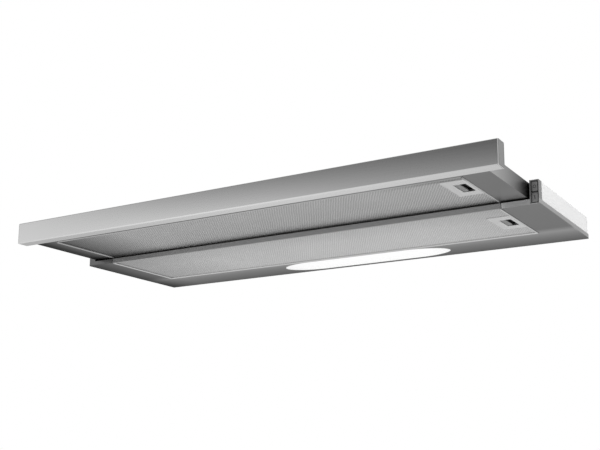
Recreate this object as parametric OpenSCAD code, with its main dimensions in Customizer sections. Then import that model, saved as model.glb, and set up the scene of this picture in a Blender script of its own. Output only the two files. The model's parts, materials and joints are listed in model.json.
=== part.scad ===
// Pull-out range hood, 90 cm wide, drawer shown pulled out.
// The origin is the middle of the bounding box on its underside. X runs along the front bar,
// Y points to the back of the cabinet and Z points up.

/* [Front bar] */
// How far the bar stands out past the body on each side
bar_over = 5; // [0:0.5:10]
// Height of the front bar
bar_h = 37; // [28:1:60]
// Depth of the front bar
bar_d = 22; // [16:1:40]
// Height of the bar's underside above the body's underside
bar_lift = 8.8; // [0:0.1:20]
// Thickness of each plastic end cap of the bar
bar_cap_t = 2; // [1:0.5:4]
// Thickness of the steel sheet
sheet = 1; // [0.6:0.1:1.5]

/* [Fixed body] */
// Width of the fixed body
body_w = 888; // [588:1:1188]
// Depth of the fixed body
body_d = 257; // [240:1:300]
// Height of the end pieces and of the chassis walls
end_h = 36.8; // [34:0.1:50]
// Width of each end piece, seen from the front
end_w = 14; // [12:0.5:20]
// Height of the strip under the drawer
strip_h = 8; // [5:0.5:12]
// Width of the raised air chamber over the drawer
plenum_w = 500; // [300:10:560]
// Height of the air chamber's top above the underside
plenum_z = 56; // [50:1:80]

/* [Drawer] */
// Length of the drawer that stays in the body when it is pulled out
drawer_overlap = 91; // [88:1:140]
// Room for a rail on each side of the drawer
rail_room = 17; // [14:0.5:24]
// Room behind the closed drawer
back_room = 12; // [8:0.5:30]
// Height of the drawer's underside above the body's underside
drawer_z = 10.3; // [9:0.1:12]
// Height of the drawer's side walls
drawer_h = 24.7; // [22:0.1:25]
// Gap between the closed bar and the body
bar_gap = 1; // [0.5:0.5:3]

/* [Grease filters] */
// Width of the steel margin on each side of the filters
filter_side = 42; // [30:1:80]
// Width of the steel margin before and behind the upper filter
upper_rim = 7; // [5:0.5:20]
// Thickness of the filters
filter_t = 8; // [6:0.5:10]
// Width of the border around the mesh
border = 4; // [3:1:20]
// Travel of the filter latches
latch_travel = 5; // [3:0.5:8]

/* [Lamp] */
// Depth of the lamp panel behind the lower filter
lamp_d = 81; // [60:1:100]
// Length of the lamp lens
lens_len = 338; // [200:1:500]
// Width of the steel margin before the lamp lens
lens_front_rim = 3.5; // [3:0.5:20]
// Width of the steel margin behind the lamp lens
lens_back_rim = 9.5; // [4:0.5:20]
// Sideways place of the lens middle
lens_x = 42; // [-200:1:200]

/* [Controls] */
// Travel of the two push buttons
button_travel = 2; // [1:0.5:3]
// Width of a push button
button_w = 9.4; // [6:0.1:12]
// Clearance around a push button
button_gap = 0.4; // [0.3:0.1:1]

/* [Blower] */
// Radius of the fan wheel
wheel_r = 68; // [50:1:80]
// Height of the fan wheel
wheel_h = 38; // [25:1:50]
// Height of the blower casing
casing_h = 54; // [45:1:70]
// Outer diameter of the exhaust spigot
spigot_dia = 120; // [100:1:150]
// Height of the exhaust spigot
spigot_h = 32; // [20:1:60]
// Distance of the cabinet bolts from the air chamber's sides
bolt_inset_x = 20; // [12:1:60]
// Distance of the cabinet bolts from the air chamber's front and back
bolt_inset_y = 20.5; // [12:0.5:60]

/* [Hidden] */
$fn = 64;

// Colours
steel = [0.66, 0.66, 0.67];
mesh_grey = [0.6, 0.6, 0.6];
pad_grey = [0.74, 0.74, 0.74];
dark_grey = [0.33, 0.33, 0.34];
white_paint = [0.92, 0.92, 0.92];
black = [0.06, 0.06, 0.06];
lamp_white = [1, 1, 0.98];
green_board = [0.12, 0.35, 0.2];

// Widths, each from the body's
bar_w = body_w + 2 * bar_over;
drawer_w = body_w - 2 * rail_room;
filter_w = drawer_w - 2 * filter_side;

// Depths, each from the body's
drawer_len = body_d - back_room;
travel = drawer_len - drawer_overlap;
lower_filter_d = body_d - lamp_d;
upper_filter_d = drawer_len - 2 * upper_rim;
lens_d = lamp_d - 1 - lens_front_rim - lens_back_rim;

// Places from front to back, with the bounding box centred on the origin
open_d = bar_d + bar_gap + travel + body_d;
bar_front = -open_d / 2;
bar_back = bar_front + bar_d;
body_back = open_d / 2;
body_front = body_back - body_d;
bar_top = bar_lift + bar_h;
cap_len = 7;

// Body
wall_x = body_w / 2;
end_in = wall_x - end_w;
opening_x = filter_w / 2 + 1;
opening_back = body_front + lower_filter_d + 1;
deck_z = end_h - sheet;
plenum_front = body_front + 22;
plenum_back = body_back - 4;
plenum_rim = 8;

// Drawer
drawer_x = drawer_w / 2;
drawer_back = bar_back + drawer_len;
drawer_top = drawer_z + drawer_h;
drawer_opening_x = filter_w / 2 + 0.5;
cover_back = body_front + 10;
runner_len = 44;
runner_h = 7.4;
runner_z = drawer_z + 10;
rail_gap = 0.3;
rail_front = body_front + runner_len - 2;
rail_back = body_back - 5;
bracket_x = drawer_x - 127;
bracket_screw_x = 8;
bracket_screw_z = bar_lift + 15.5;
buffer_x = drawer_x - 97;
buffer_r = 5;
switch_x = drawer_x - 167;

// Filters
pad_w = 38;
pad_len = 78;
window_w = 20;
window_len = 40;
window_dx = 3;
upper_front = bar_back + upper_rim + 0.5;
pad_inset = 22.5;
upper_pad = [filter_w / 2 - pad_inset, upper_front + 54];
lower_pad = [filter_w / 2 - pad_inset, body_front + lower_filter_d / 2];
mesh_t = 5;
pad_t = 2;
tab_w = 5;
tab_ys = [-24, 24];

// Blower
wheel_x = -75;
wheel_y = body_back - 105;
wheel_z = plenum_z + 8;
casing_top = plenum_z + casing_h;
casing_wall = 2;
scroll_r = wheel_r + 22;
spigot_r = spigot_dia / 2;
chamber_r = spigot_r + 10;
spigot_x = wheel_x + scroll_r + chamber_r;
spigot_y = wheel_y + 8;
inlet_r = 52;
motor_r = 34;
motor_z = wheel_z + 14;
shaft_r = 4;
shaft_gap = 0.05;
flap_r = spigot_r - 3.5;
flap_pin_r = 1.5;
flap_z = casing_top + 4.9;
flap_pin_x = 2;
casing_rim = 6;
bolt_r = 2.5;
bolt_x = plenum_w / 2 - bolt_inset_x;
bolt_y = (plenum_front + plenum_back) / 2;
bolt_dy = (plenum_back - plenum_front) / 2 - bolt_inset_y;
flange_x = plenum_w / 2 + 4;
flange_screws = [[-flange_x, body_back - 197], [-flange_x, body_back - 37], [flange_x, body_back - 197],
    [flange_x, body_back - 37], [-plenum_w * 0.24, body_front + 19], [plenum_w * 0.24, body_front + 19]];
lid_screws = [[wheel_x, wheel_y - scroll_r - 3], [wheel_x, wheel_y + scroll_r + 3],
    [wheel_x - scroll_r - 3, wheel_y], [spigot_x, spigot_y - chamber_r - 3],
    [spigot_x, spigot_y + chamber_r + 3], [spigot_x + chamber_r + 3, spigot_y]];

// Lamp
lens_y = opening_back + lens_front_rim + lens_d / 2;
lens_t = 1.6;
lamp_top = 9.6;
board_z = lamp_top - 2.6;

// Electrics
box_w = 104;
box_d = 90;
box_h = 17;
box_wall = 2;
box_x = -plenum_w / 2 - 18 - box_w / 2;
box_y = body_back - 132;
gland_r = 6;
gland_x = box_x;
gland_y = box_y + box_d / 2 - 5;
gland_z = end_h + 8.8;

// Controls
button_h = (end_h - 7) / 2;
button_z1 = 2.6;
button_z2 = button_z1 + button_h + 1.6;
button_x = wall_x - end_w / 2 + 0.6;

// A box given by its corners
module span(x0, x1, y0, y1, z0, z1) {
    translate([x0, y0, z0])
        cube([x1 - x0, y1 - y0, z1 - z0]);
}

// A rectangle with round corners, from two crossed squares and four circles
module round_rect(w, h, r) {
    translate([r, 0])
        square([w - 2 * r, h]);
    translate([0, r])
        square([w, h - 2 * r]);
    for (x = [r, w - r], y = [r, h - r])
        translate([x, y])
            circle(r, $fn = 32);
}

// A profile drawn in Y and Z, extruded along X
module along_x(x0, x1) {
    translate([x0, 0, 0])
        rotate([90, 0, 90])
            linear_extrude(x1 - x0)
                children();
}

// A pan-head screw pointing down, its head's underside at z = 0
module screw(len, r = 1.9, head = 3.6) {
    translate([0, 0, -len])
        cylinder(h = len, r = r, $fn = 24);
    difference() {
        cylinder(h = 2.2, r = head, $fn = 32);
        for (a = [0, 90])
            rotate([0, 0, a])
                translate([-head * 0.6, -0.4, 1.2])
                    cube([head * 1.2, 0.8, 1.1]);
    }
}

// The long lens outline: straight sides and flat round ends
module lens_outline(grow = 0) {
    straight = lens_len - lens_d * 1.6;
    translate([lens_x, lens_y])
        union() {
            square([straight, lens_d + 2 * grow], center = true);
            for (s = [-1, 1])
                translate([s * straight / 2, 0])
                    scale([1.6 + grow / lens_d, 1])
                        circle(lens_d / 2 + grow, $fn = 96);
        }
}

// The fixed body

module bottom_frame() {
    color(steel)
        difference() {
            union() {
                span(-wall_x, wall_x, body_front, body_back, 0, sheet);
                for (m = [0, 1])
                    mirror([m, 0, 0]) {
                        span(wall_x - sheet, wall_x, body_front, body_back, 0, strip_h);
                        span(opening_x, end_in, body_front, body_front + sheet, 0, strip_h);
                        span(opening_x, opening_x + sheet, body_front, opening_back, 0, 5);
                    }
                span(-wall_x, wall_x, body_back - sheet, body_back, 0, strip_h);
            }
            span(-opening_x, opening_x, body_front - 1, opening_back, -1, sheet + 1);
            translate([0, 0, -1])
                linear_extrude(sheet + 2)
                    lens_outline(0.4);
            // slots for the filter's tabs and its latch bolt
            for (s = [-1, 1], y = tab_ys)
                translate([s * opening_x, lower_pad[1] + y, 0])
                    span(-3, 3, -4, 4, sheet, 4.4);
        }
}

module chassis_shell() {
    inner = wall_x - sheet;
    color(white_paint)
        difference() {
            union() {
                for (m = [0, 1])
                    mirror([m, 0, 0])
                        span(inner - sheet, inner, body_front + end_w, body_back - sheet, sheet, end_h);
                span(-inner, inner, body_back - 2 * sheet, body_back - sheet, sheet, end_h);
                span(-inner, inner, body_front + end_w, body_back - sheet, deck_z, end_h);
            }
            // opening under the air chamber
            span(-plenum_w / 2 + plenum_rim, plenum_w / 2 - plenum_rim, plenum_front + plenum_rim,
                plenum_back - plenum_rim - 2, deck_z - 1, end_h + 1);
            // hole for the lamp wires
            translate([gland_x + 20, body_back - 30, deck_z - 1])
                cylinder(h = 3, r = 6);
            at(flange_screws, deck_z - 1)
                cylinder(h = 3, r = 1.6, $fn = 24);
        }
}

module plenum_box() {
    x = plenum_w / 2;
    color(white_paint)
        difference() {
            union() {
                span(-x, x, plenum_front, plenum_back, end_h, plenum_z);
                span(-x - plenum_rim, x + plenum_rim, plenum_front - plenum_rim + 2, plenum_back + 2,
                    end_h, end_h + sheet);
            }
            span(-x + sheet, x - sheet, plenum_front + sheet, plenum_back - sheet,
                end_h - 1, plenum_z - sheet);
            translate([wheel_x, wheel_y, end_h])
                cylinder(h = casing_h, r = inlet_r);
            cabinet_bolt_holes();
            at(flange_screws, end_h - 1)
                cylinder(h = 3, r = 1.6, $fn = 24);
        }
}

module cabinet_bolt_holes() {
    for (x = [-bolt_x, bolt_x], y = [-bolt_dy, bolt_dy])
        translate([x, bolt_y + y, plenum_z - 10])
            cylinder(h = 12, r = bolt_r, $fn = 48);
}

// Puts its child at each place of a list, at one height
module at(places, z) {
    for (p = places)
        translate([p[0], p[1], z])
            children();
}

// Threaded plates under the air chamber's top, for the bolts from the cabinet shelf
module fixing_nuts() {
    color(steel)
        difference() {
            for (x = [-bolt_x, bolt_x], y = [-bolt_dy, bolt_dy])
                span(x - 9, x + 9, bolt_y + y - 7, bolt_y + y + 7, plenum_z - sheet - 4, plenum_z - sheet);
            cabinet_bolt_holes();
        }
}

module end_piece_block() {
    span(end_in, wall_x, body_front, body_front + end_w, sheet, end_h);
}

module left_end_piece() {
    color(steel)
        mirror([1, 0, 0])
            difference() {
                end_piece_block();
                span(end_in + 1.5, wall_x - 1.5, body_front + 1.5, body_front + end_w + 1, 2.5, end_h - 1.5);
                span(wall_x - sheet, wall_x + 1, body_front - 1, body_front + end_w + 1, 0, strip_h);
            }
}

module right_end_piece() {
    half = button_w / 2 + button_gap;
    color(dark_grey)
        difference() {
            end_piece_block();
            for (z = [button_z1, button_z2])
                span(button_x - half, button_x + half, body_front - 1, body_front + end_w + 1,
                    z - button_gap, z + button_h + button_gap);
            // shallow step around the two buttons
            span(button_x - half - 0.5, button_x + half + 0.5, body_front - 1, body_front + 0.4,
                button_z1 - 1, button_z2 + button_h + 1);
            span(wall_x - sheet, wall_x + 1, body_front - 1, body_front + end_w + 1, 0, strip_h);
        }
}

module rail() {
    groove_z0 = runner_z - rail_gap;
    groove_z1 = runner_z + runner_h + rail_gap;
    x0 = drawer_x + 3.3;
    x1 = wall_x - 2 * sheet;
    color(pad_grey)
        difference() {
            span(x0, x1, rail_front, rail_back, sheet, deck_z);
            span(x0 - 1, x1 - 2, rail_front - 1, rail_back - 6, groove_z0, groove_z1);
            for (z = [4.5, deck_z - 5.5])
                span(x0 - 1, x1 - 2, rail_front + 12, rail_back - 12, z - 2.5, z + 2.5);
        }
}

module left_rail() {
    mirror([1, 0, 0])
        rail();
}

module right_rail() {
    rail();
}

module switch_module() {
    color(black)
        difference() {
            span(end_in + 1, wall_x - 2 * sheet, body_front + end_w, rail_front - 3, 2, deck_z);
            // wells for the button stems
            for (z = [button_z1, button_z2])
                translate([button_x, body_front + end_w - 1, z + button_h / 2])
                    rotate([-90, 0, 0])
                        cylinder(h = button_travel + 5, r = 2.2, $fn = 32);
        }
}

// Small snap switch on the rear wall that the closing drawer presses
module drawer_switch() {
    front = drawer_back + travel + 2;
    color(black) {
        span(switch_x - 10, switch_x + 10, front, body_back - 2 * sheet, drawer_z, drawer_z + 12);
        translate([switch_x, front, drawer_z + 3])
            rotate([90, 0, 0])
                cylinder(h = 1.6, r = 1.4, $fn = 24);
    }
}

module drawer_buffers() {
    front = drawer_back + travel + 0.4;
    color(black)
        for (x = [-buffer_x, buffer_x])
            translate([x, body_back - 2 * sheet, drawer_z + buffer_r])
                rotate([90, 0, 0])
                    cylinder(h = body_back - 2 * sheet - front, r = buffer_r, $fn = 32);
}

// Frame of a filter: four channel sides with a thin rim, drawn from its front left corner
module filter_frame(depth, wide = filter_w) {
    x = wide / 2;
    difference() {
        span(-x, x, 0, depth, 0, filter_t);
        span(-x + border, x - border, border, depth - border, -1, filter_t + 1);
        span(-x + 1, x - 1, 1, depth - 1, 1.2, filter_t - 1.2);
    }
}

// Layers of expanded metal: a flat pad with rows of slots
module filter_pad(depth, wide, pad) {
    x = wide / 2;
    rows = 6;
    pitch = (depth - 4) / rows;
    difference() {
        span(-x + 1, x - 1, 1, depth - 1, 1.2, 1.2 + mesh_t);
        // pockets behind the knitted layers
        for (i = [0 : rows - 1], s = [0 : 5])
            span(-x + 14 + s * (wide - 24) / 6, -x + 10 + (s + 1) * (wide - 24) / 6 - 6,
                2 + i * pitch + 2, 2 + (i + 1) * pitch - 2, 2.4, 2 + mesh_t);
        translate([pad[0] - pad_w / 2 - 0.4, pad[1] - pad_len / 2 - 0.4, 0])
            cube([pad_w + border, pad_len + 0.8, filter_t]);
    }
}

module lower_filter_frame() {
    color(steel)
        difference() {
            union() {
                translate([0, body_front, 0])
                    filter_frame(lower_filter_d);
                // tabs that hook over the frame on the left
                for (y = tab_ys)
                    filter_tab(-opening_x - 4, -filter_w / 2 + 1, lower_pad[1] + y);
            }
            pad_pocket(lower_pad);
        }
}

module upper_filter_frame() {
    color(steel)
        translate([0, 0, drawer_z])
            difference() {
                union() {
                    translate([0, upper_front, 0])
                        filter_frame(upper_filter_d, filter_w);
                    for (y = tab_ys)
                        filter_tab(-drawer_opening_x - 4, -filter_w / 2 + 1, upper_pad[1] + y);
                }
                pad_pocket(upper_pad);
            }
}

module filter_tab(x0, x1, y) {
    span(x0, x1, y - tab_w / 2, y + tab_w / 2, sheet, sheet + 1.5);
}

// Room for the handle and its latch in a filter frame
module pad_pocket(pad) {
    span(pad[0] - pad_w / 2 - 0.01, pad[0] + pad_w / 2 + 0.01, pad[1] - pad_len / 2,
        pad[1] + pad_len / 2, -1, filter_t + 1);
    for (y = tab_ys)
        span(pad[0], filter_w / 2 + 1, pad[1] + y - tab_w / 2 - 0.5, pad[1] + y + tab_w / 2 + 0.5, 1.9, 4.2);
}

module lower_filter_mesh() {
    color(mesh_grey)
        translate([0, body_front, 0])
            filter_pad(lower_filter_d, filter_w, [lower_pad[0], lower_pad[1] - body_front]);
}

module upper_filter_mesh() {
    color(mesh_grey)
        translate([0, upper_front, drawer_z])
            filter_pad(upper_filter_d, filter_w, [upper_pad[0], upper_pad[1] - upper_front]);
}

// Handle plate with a finger window; the latch runs in a groove above it
module filter_handle() {
    difference() {
        union() {
            span(-pad_w / 2, pad_w / 2, -pad_len / 2, pad_len / 2, 0, pad_t);
            for (s = [-1, 1])
                translate([0, s * (pad_len / 2 - 1), 0])
                    span(-pad_w / 2, pad_w / 2, -1, 1, 0, filter_t - 1);
            span(-pad_w / 2, pad_w / 2, -pad_len / 2, pad_len / 2, filter_t - 1.6, filter_t - 0.6);
        }
        translate([window_dx, 0, 0])
            span(-window_w / 2, window_w / 2, -window_len / 2, window_len / 2, -1, pad_t + 1);
        for (x = [-13, -11])
            span(x - 0.4, x + 0.4, -window_len / 2, window_len / 2, -0.1, 0.4);
    }
}

module lower_filter_handle() {
    color(pad_grey)
        translate([lower_pad[0], lower_pad[1], 0])
            filter_handle();
}

module upper_filter_handle() {
    color(pad_grey)
        translate([upper_pad[0], upper_pad[1], drawer_z])
            filter_handle();
}

// Latch slide: a ribbed thumb plate in the window and two bolts towards the frame
module filter_latch(reach) {
    play = 0.35;
    x0 = -window_w / 2 + window_dx;
    thumb_x = x0 + latch_travel + 0.4;
    difference() {
        union() {
            span(x0 - 3, x0 + 9, -tab_ys[1] - 2.5, tab_ys[1] + 2.5, pad_t + play, pad_t + 1.6);
            span(thumb_x, x0 + 9, -window_len / 2 + play, window_len / 2 - play, 0.6, pad_t + 1.6);
            for (y = tab_ys)
                span(x0, reach, y - tab_w / 2, y + tab_w / 2, pad_t + play, pad_t + 1.6);
        }
        for (i = [-3 : 3])
            span(thumb_x - 1, x0 + 10, i * 5 - 0.6, i * 5 + 0.6, 0, 1.1);
    }
}

module upper_latch() {
    color(pad_grey)
        translate([upper_pad[0], upper_pad[1], drawer_z])
            filter_latch(drawer_opening_x - upper_pad[0] + 3);
}

module lower_latch() {
    color(pad_grey)
        translate([lower_pad[0], lower_pad[1], 0])
            filter_latch(opening_x - lower_pad[0] + 2.5);
}

// The lamp

module lamp_housing() {
    color(white_paint)
        difference() {
            translate([0, 0, sheet])
                linear_extrude(lamp_top - sheet)
                    lens_outline(3);
            linear_extrude(lamp_top - 1)
                lens_outline(1.2);
        }
}

module led_board() {
    color(green_board)
        span(lens_x - lens_len * 0.36, lens_x + lens_len * 0.36, lens_y - 12, lens_y + 12,
            board_z, board_z + 1.6);
    color(lamp_white)
        for (i = [-5 : 5])
            translate([lens_x + i * 21, lens_y, board_z - 1])
                span(-2.5, 2.5, -2.5, 2.5, 0, 1);
}

module lamp_lens() {
    color(lamp_white) {
        linear_extrude(sheet)
            lens_outline();
        translate([0, 0, sheet])
            linear_extrude(lens_t - sheet)
                lens_outline(1.1);
    }
}

// The blower

module inlet_ring() {
    color(black)
        translate([wheel_x, wheel_y, plenum_z - sheet])
            rotate_extrude()
                polygon([[inlet_r - 4, 0], [inlet_r, 0], [inlet_r, 3], [inlet_r - 1.5, 3],
                    [inlet_r - 3, 7], [inlet_r - 5, 7]]);
}

module inlet_guard() {
    color(steel)
        translate([wheel_x, wheel_y, plenum_z - sheet - 1.5])
            difference() {
                cylinder(h = 1.5, r = inlet_r + 8);
                for (r = [8 : 8 : inlet_r - 12])
                    translate([0, 0, -1])
                        difference() {
                            cylinder(h = 4, r = r + 6);
                            cylinder(h = 4, r = r);
                            for (a = [0, 60, 120])
                                rotate([0, 0, a])
                                    span(-inlet_r, inlet_r, -2, 2, -1, 5);
                        }
                translate([0, 0, -1])
                    difference() {
                        cylinder(h = 4, r = inlet_r - 0.5);
                        cylinder(h = 4, r = inlet_r - 4);
                        for (a = [0, 60, 120])
                            rotate([0, 0, a])
                                span(-inlet_r, inlet_r, -2, 2, -1, 5);
                    }
            }
}

// Plan of the blower: a round scroll that opens into a square chamber under the spigot
module blower_plan(grow) {
    front = wheel_y - 40;
    translate([wheel_x, wheel_y])
        circle(scroll_r + grow, $fn = 96);
    translate([spigot_x, spigot_y])
        circle(chamber_r + grow, $fn = 96);
    translate([wheel_x, front - grow])
        square([spigot_x - wheel_x, spigot_y + chamber_r - front + 2 * grow]);
}

module blower_casing() {
    color(black)
        difference() {
            union() {
                translate([0, 0, plenum_z])
                    linear_extrude(casing_h - 2)
                        blower_plan(0);
                translate([0, 0, casing_top - 6])
                    linear_extrude(4)
                        blower_plan(casing_rim);
            }
            translate([0, 0, plenum_z + casing_wall])
                linear_extrude(casing_h)
                    blower_plan(-casing_wall);
            translate([wheel_x, wheel_y, plenum_z - 1])
                cylinder(h = 5, r = inlet_r);
        }
}

module blower_lid() {
    color(black)
        difference() {
            translate([0, 0, casing_top - 2])
                linear_extrude(2)
                    blower_plan(casing_rim);
            translate([spigot_x, spigot_y, casing_top - 3])
                cylinder(h = 4, r = spigot_r - 4);
            for (a = [0 : 120 : 240])
                translate([wheel_x, wheel_y, casing_top - 3])
                    rotate([0, 0, a])
                        translate([motor_r - 8, 0, 0])
                            cylinder(h = 4, r = 3, $fn = 32);
            at(lid_screws, casing_top - 3)
                cylinder(h = 4, r = 1.3, $fn = 24);
        }
}

module fan_motor() {
    color(steel)
        translate([wheel_x, wheel_y, 0])
            difference() {
                union() {
                    translate([0, 0, motor_z])
                        cylinder(h = casing_top - 5 - motor_z, r = motor_r);
                    translate([0, 0, motor_z - 3])
                        cylinder(h = 3, r = 12);
                }
                translate([0, 0, motor_z - 4])
                    cylinder(h = casing_top - 12 - motor_z, r = shaft_r + shaft_gap, $fn = 96);
                for (z = [motor_z + 8 : 4 : casing_top - 12])
                    translate([0, 0, z])
                        difference() {
                            cylinder(h = 1.2, r = motor_r + 1);
                            cylinder(h = 1.2, r = motor_r - 1.5);
                        }
            }
}

module motor_buffers() {
    color(black)
        for (a = [0 : 120 : 240])
            translate([wheel_x, wheel_y, casing_top - 5])
                rotate([0, 0, a])
                    translate([motor_r - 8, 0, 0]) {
                        cylinder(h = 6.5, r = 2.9, $fn = 32);
                        cylinder(h = 3, r = 5, $fn = 32);
                        translate([0, 0, 5])
                            cylinder(h = 2, r = 5, $fn = 32);
                    }
}

module exhaust_spigot() {
    color(black)
        translate([spigot_x, spigot_y, casing_top])
            difference() {
                union() {
                    difference() {
                        union() {
                            cylinder(h = spigot_h + 2, r = spigot_r, $fn = 128);
                            cylinder(h = 2, r = spigot_r + 7, $fn = 128);
                        }
                        translate([0, 0, -1])
                            cylinder(h = spigot_h + 4, r = spigot_r - 2, $fn = 128);
                    }
                    // seat that the closed flaps rest on
                    translate([0, 0, 2])
                        difference() {
                            cylinder(h = 2, r = spigot_r - 1.9, $fn = 96);
                            translate([0, 0, -1])
                                cylinder(h = 4, r = spigot_r - 5, $fn = 96);
                        }
                    // bearing blocks for the flap pins
                    for (s = [-1, 1])
                        span(-5, 5, s * (spigot_r - 4) - 2.4, s * (spigot_r - 4) + 2.4, 2, 8);
                }
                for (s = [-1, 1])
                    translate([s * flap_pin_x, -spigot_r + 1.5, flap_z - casing_top])
                        rotate([-90, 0, 0])
                            cylinder(h = 2 * spigot_r - 3, r = flap_pin_r + shaft_gap, $fn = 48);
            }
}

// Half a disc on a hinge pin along Y, lying flat when closed
module flap(s) {
    gap = 0.4;
    x0 = s > 0 ? gap : -flap_r;
    color(dark_grey)
        translate([spigot_x, spigot_y, flap_z]) {
            difference() {
                intersection() {
                    translate([0, 0, -0.6])
                        cylinder(h = 1.2, r = flap_r, $fn = 96);
                    span(x0, x0 + flap_r - gap, -flap_r, flap_r, -2, 2);
                }
                // notches beside the bearing blocks
                for (side = [-1, 1])
                    span(-6.5, 6.5, side * (spigot_r - 4) - 3.4, side * (spigot_r - 4) + 3.4, -2, 2);
            }
            translate([s * flap_pin_x, -spigot_r + 2.6, 0])
                rotate([-90, 0, 0])
                    cylinder(h = 2 * spigot_r - 5.2, r = flap_pin_r, $fn = 48);
        }
}

module flap_left() {
    flap(-1);
}

module flap_right() {
    flap(1);
}

module fan_wheel() {
    blades = 28;
    blade_len = 13;
    cup_r = motor_r + 3;
    hub_z = 5;
    color(dark_grey)
        translate([wheel_x, wheel_y, wheel_z]) {
            difference() {
                union() {
                    // hub plate, cup around the motor and rim on the motor's side
                    translate([0, 0, hub_z])
                        cylinder(h = 1.5, r = cup_r + 1.5);
                    cylinder(h = 9, r = 10);
                    translate([0, 0, hub_z])
                        cylinder(h = wheel_h - hub_z, r = cup_r + 1.5);
                    translate([0, 0, wheel_h - 1.5])
                        cylinder(h = 1.5, r = wheel_r);
                }
                translate([0, 0, hub_z + 1.5])
                    difference() {
                        cylinder(h = wheel_h, r = cup_r);
                        cylinder(h = 9 - hub_z - 1.5, r = 10);
                    }
                translate([0, 0, -1])
                    cylinder(h = 12, r = shaft_r, $fn = 96);
            }
            for (i = [0 : blades - 1])
                rotate([0, 0, i * 360 / blades])
                    translate([wheel_r - 9, 0, 0])
                        rotate([0, 0, 40])
                            translate([-5, -0.6, 0])
                                cube([blade_len, 1.2, wheel_h - 1]);
            // ring that ties the blades together on the inlet side
            difference() {
                cylinder(h = 2, r = wheel_r);
                translate([0, 0, -1])
                    cylinder(h = 4, r = wheel_r - 14);
            }
        }
}

module motor_shaft() {
    color(steel)
        translate([wheel_x, wheel_y, wheel_z - 2])
            cylinder(h = casing_top - 20 - wheel_z, r = shaft_r, $fn = 96);
}

// Electrics on the deck, left of the air chamber

// A block with the terminal box's outline, grown on all sides
module box_block(grow, z0, z1) {
    x = box_w / 2 + grow;
    y = box_d / 2 + grow;
    span(box_x - x, box_x + x, box_y - y, box_y + y, z0, z1);
}

module terminal_box() {
    color(white_paint)
        difference() {
            box_block(0, end_h, end_h + box_h);
            box_block(-box_wall, end_h + box_wall, end_h + box_h + 1);
            translate([gland_x, gland_y - 1, gland_z])
                rotate([-90, 0, 0])
                    cylinder(h = 12, r = gland_r, $fn = 48);
        }
}

module terminal_box_lid() {
    color(white_paint)
        box_block(1, end_h + box_h, end_h + box_h + 1.5);
}

module terminal_block() {
    y = box_y + 9;
    color(pad_grey)
        difference() {
            span(box_x - 30, box_x + 20, y - 8, y + 8, end_h + box_wall, end_h + 12);
            for (i = [0 : 4])
                translate([box_x - 24 + i * 9.5, y, end_h + 6])
                    cylinder(h = 8, r = 2.6, $fn = 24);
        }
}

module run_capacitor() {
    r = 7;
    color(white_paint)
        translate([box_x - 42, box_y - 25, end_h + box_wall + r])
            rotate([0, 90, 0])
                cylinder(h = 44, r = r);
}

module led_driver() {
    color(black)
        span(box_x + 12, box_x + 44, box_y - 39, box_y - 9, end_h + box_wall, end_h + 14);
}

module cable_gland() {
    color(black)
        translate([gland_x, gland_y, gland_z])
            rotate([-90, 0, 0])
                difference() {
                    union() {
                        cylinder(h = 18, r = gland_r, $fn = 48);
                        translate([0, 0, 5])
                            cylinder(h = 4, r = gland_r + 1.6, $fn = 6);
                        cylinder(h = 3, r = gland_r + 1.6, $fn = 6);
                    }
                    translate([0, 0, -1])
                        cylinder(h = 22, r = 3.5, $fn = 48);
                }
}

module frame_screws() {
    color(steel)
        at(flange_screws, end_h + sheet)
            screw(1.7, 1.5, 2.6);
}

module blower_screws() {
    color(steel)
        at(lid_screws, casing_top)
            screw(1.9, 1.25, 2.4);
}

// The drawer

module front_bar() {
    inner = bar_w / 2 - bar_cap_t;
    lip = 12;
    color(steel)
        along_x(-inner, inner)
            translate([bar_front, bar_lift])
                difference() {
                    round_rect(bar_d, bar_h, 1.6);
                    translate([sheet, sheet])
                        square([bar_d - 2 * sheet, bar_h - 2 * sheet]);
                    translate([bar_d - sheet - 1, 5])
                        square([sheet + 2, bar_h - lip - 10]);
                }
}

module bar_cap(side) {
    x0 = bar_w / 2 - bar_cap_t;
    color(steel)
        mirror([side, 0, 0]) {
            along_x(x0, x0 + bar_cap_t)
                translate([bar_front, bar_lift])
                    round_rect(bar_d, bar_h, 2.2);
            // hollow plug inside the folded sheet
            difference() {
                span(x0 - cap_len, x0, bar_front + sheet, bar_back - sheet,
                    bar_lift + sheet, bar_top - sheet);
                span(x0 - cap_len - 1, x0 - 1, bar_front + sheet + 1.5, bar_back - sheet - 1.5,
                    bar_lift + sheet + 1.5, bar_top - sheet - 1.5);
            }
        }
}

module bar_cap_left() {
    bar_cap(1);
}

module bar_cap_right() {
    bar_cap(0);
}

// Angles in the bar that carry the drawer's front wall
module bar_brackets() {
    color(steel)
        for (x = [-bracket_x, 0, bracket_x])
            difference() {
                union() {
                    span(x - 20, x + 20, bar_front + sheet, bar_back - sheet,
                        bar_top - sheet - 2, bar_top - sheet);
                    span(x - 20, x + 20, bar_back - sheet - 2, bar_back - sheet,
                        bar_lift + 12, bar_top - sheet);
                    span(x - 14, x + 14, bar_back - sheet, bar_back, bar_lift + 12, bar_lift + 19);
                }
                for (dx = [-bracket_screw_x, bracket_screw_x])
                    translate([x + dx, bar_back - 4, bracket_screw_z])
                        rotate([-90, 0, 0])
                            cylinder(h = 6, r = 2.1, $fn = 32);
            }
}

module bar_screws() {
    color(steel)
        for (x = [-bracket_x, 0, bracket_x], dx = [-bracket_screw_x, bracket_screw_x])
            translate([x + dx, bar_back + sheet, bracket_screw_z])
                rotate([-90, 0, 0])
                    screw(6, 2.05);
}

module drawer_side_profile() {
    polygon([[drawer_opening_x, 0], [drawer_x, 0], [drawer_x, drawer_h], [drawer_x - sheet, drawer_h],
        [drawer_x - sheet, sheet], [drawer_opening_x, sheet]]);
}

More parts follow.
